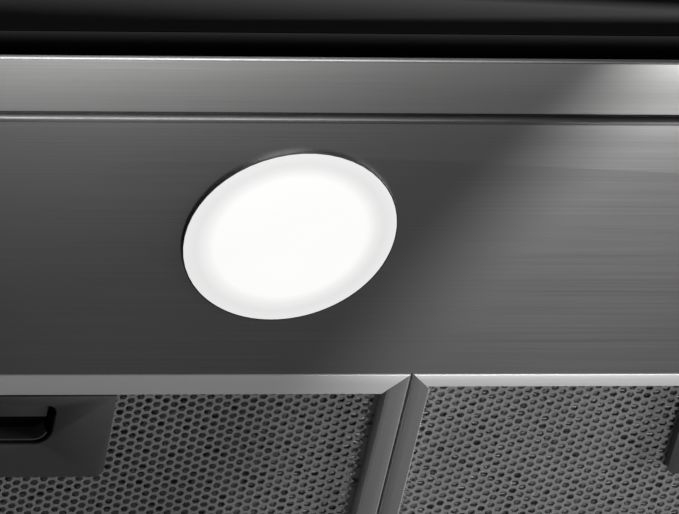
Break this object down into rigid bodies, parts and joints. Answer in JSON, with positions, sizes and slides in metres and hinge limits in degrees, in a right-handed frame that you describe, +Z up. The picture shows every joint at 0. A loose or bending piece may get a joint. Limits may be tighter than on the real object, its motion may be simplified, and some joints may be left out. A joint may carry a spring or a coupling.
{
  "type": "island range hood",
  "caption": "Ceiling-hung steel range hood with a telescopic chimney, pyramid canopy, flush light panel with round LED lamps and hinged mesh grease filters with finger latches.",
  "frame": {"origin": "centre of the ceiling plate's top face, in the middle of its four screw holes", "axes": "+Z up to the ceiling, +X to the hood's right, +Y to its back; the control strip faces -Y"},
  "size_m": [0.898, 0.5984, 0.9014],
  "materials": {
    "galvanised_steel": "zinc plated, matt",
    "stainless_steel": "brushed lengthways",
    "panel_steel": "brushed lengthways",
    "black_trim": "black anodised",
    "black_glass": "back-painted black, polished",
    "grey_plastic": "moulded",
    "circuit_board": "solder mask",
    "lamp_bezel": "satin dark chrome",
    "lamp_lens": "opal, lit",
    "filter_aluminium": "satin",
    "mesh_aluminium": "expanded metal",
    "black_plastic": "moulded",
    "latch_plastic": "fine-grained",
    "cable_rubber": "smooth",
    "motor_metal": "zinc paint",
    "flap_plastic": "moulded",
    "button_metal": "satin"
  },
  "bodies": {
    "ceiling_mount": {"ceiling_plate": "galvanised_steel", "upper_posts": "galvanised_steel", "upper_frame_brace": "galvanised_steel", "upper_chimney_front": "stainless_steel", "upper_chimney_rear": "stainless_steel", "upper_chimney_screws": "galvanised_steel", "frame_bolts": "galvanised_steel", "frame_nuts": "galvanised_steel"},
    "impeller": {"impeller": "grey_plastic", "motor_shaft": "galvanised_steel"},
    "flap_front": {"damper_flap_front": "flap_plastic"},
    "flap_rear": {"damper_flap_rear": "flap_plastic"},
    "power_button": {"power_button": "button_metal"},
    "low_speed_button": {"low_speed_button": "button_metal"},
    "medium_speed_button": {"medium_speed_button": "button_metal"},
    "high_speed_button": {"high_speed_button": "button_metal"},
    "light_button": {"light_button": "button_metal"},
    "filter_left": {"filter_frame_left": "filter_aluminium", "filter_mesh_left": "mesh_aluminium", "latch_plate_left": "latch_plastic"},
    "latch_left": {"latch_slider_left": "black_plastic"},
    "filter_middle": {"filter_frame_middle": "filter_aluminium", "filter_mesh_middle": "mesh_aluminium", "latch_plate_middle": "latch_plastic"},
    "latch_middle": {"latch_slider_middle": "black_plastic"},
    "filter_right": {"filter_frame_right": "filter_aluminium", "filter_mesh_right": "mesh_aluminium", "latch_plate_right": "latch_plastic"},
    "latch_right": {"latch_slider_right": "black_plastic"},
    "hood": {"lower_posts": "galvanised_steel", "lower_frame_brace": "galvanised_steel", "lower_chimney_screws": "galvanised_steel", "panel_screws": "galvanised_steel", "filter_clips": "galvanised_steel", "damper_pin": "galvanised_steel", "motor_bracket": "galvanised_steel", "lower_chimney_front": "stainless_steel", "lower_chimney_rear": "stainless_steel", "canopy_front": "stainless_steel", "canopy_rear": "stainless_steel", "canopy_left": "stainless_steel", "canopy_right": "stainless_steel", "canopy_rim": "stainless_steel", "canopy_top_plate": "stainless_steel", "light_panel": "panel_steel", "fascia_rail": "black_trim", "fascia_glass": "black_glass", "control_housing": "grey_plastic", "control_board": "circuit_board", "lamp_bezels": "lamp_bezel", "lamp_lenses": "lamp_lens", "lamp_heatsinks": "filter_aluminium", "led_driver": "grey_plastic", "junction_box": "grey_plastic", "cable_gland": "black_plastic", "wiring_harness": "cable_rubber", "scroll_housing": "grey_plastic", "scroll_side_plates": "grey_plastic", "motor": "motor_metal", "damper_collar": "grey_plastic"}
  },
  "joints": [
    {"name": "height_adjust", "type": "slide", "parent": "ceiling_mount", "child": "hood", "axis": [0, 0, 1], "range_m": [-0.1, 0.12]},
    {"name": "impeller_spin", "type": "hinge", "parent": "hood", "child": "impeller", "pos_m": [0, 0.042, -0.765], "axis": [1, 0, 0], "continuous": true},
    {"name": "flap_front_swing", "type": "hinge", "parent": "hood", "child": "flap_front", "pos_m": [0, 0, -0.628], "axis": [-1, 0, 0], "range_deg": [0, 75]},
    {"name": "flap_rear_swing", "type": "hinge", "parent": "hood", "child": "flap_rear", "pos_m": [0, 0, -0.628], "axis": [1, 0, 0], "range_deg": [0, 75]},
    {"name": "power_button_press", "type": "slide", "parent": "hood", "child": "power_button", "axis": [0, 1, 0], "range_m": [0, 0.0015], "stiffness_N_per_m": 400, "springref_m": -0.0015},
    {"name": "low_speed_button_press", "type": "slide", "parent": "hood", "child": "low_speed_button", "axis": [0, 1, 0], "range_m": [0, 0.0015], "stiffness_N_per_m": 400, "springref_m": -0.0015},
    {"name": "medium_speed_button_press", "type": "slide", "parent": "hood", "child": "medium_speed_button", "axis": [0, 1, 0], "range_m": [0, 0.0015], "stiffness_N_per_m": 400, "springref_m": -0.0015},
    {"name": "high_speed_button_press", "type": "slide", "parent": "hood", "child": "high_speed_button", "axis": [0, 1, 0], "range_m": [0, 0.0015], "stiffness_N_per_m": 400, "springref_m": -0.0015},
    {"name": "light_button_press", "type": "slide", "parent": "hood", "child": "light_button", "axis": [0, 1, 0], "range_m": [0, 0.0015], "stiffness_N_per_m": 400, "springref_m": -0.0015},
    {"name": "filter_left_swing", "type": "hinge", "parent": "hood", "child": "filter_left", "pos_m": [-0.2758, 0.1617, -0.895], "axis": [1, 0, 0], "range_deg": [0, 75]},
    {"name": "latch_left_slide", "type": "slide", "parent": "filter_left", "child": "latch_left", "axis": [0, 1, 0], "range_m": [0, 0.007], "stiffness_N_per_m": 300, "springref_m": -0.003},
    {"name": "filter_middle_swing", "type": "hinge", "parent": "hood", "child": "filter_middle", "pos_m": [0, 0.1617, -0.895], "axis": [1, 0, 0], "range_deg": [0, 75]},
    {"name": "latch_middle_slide", "type": "slide", "parent": "filter_middle", "child": "latch_middle", "axis": [0, 1, 0], "range_m": [0, 0.007], "stiffness_N_per_m": 300, "springref_m": -0.003},
    {"name": "filter_right_swing", "type": "hinge", "parent": "hood", "child": "filter_right", "pos_m": [0.2758, 0.1617, -0.895], "axis": [1, 0, 0], "range_deg": [0, 75]},
    {"name": "latch_right_slide", "type": "slide", "parent": "filter_right", "child": "latch_right", "axis": [0, 1, 0], "range_m": [0, 0.007], "stiffness_N_per_m": 300, "springref_m": -0.003}
  ]
}
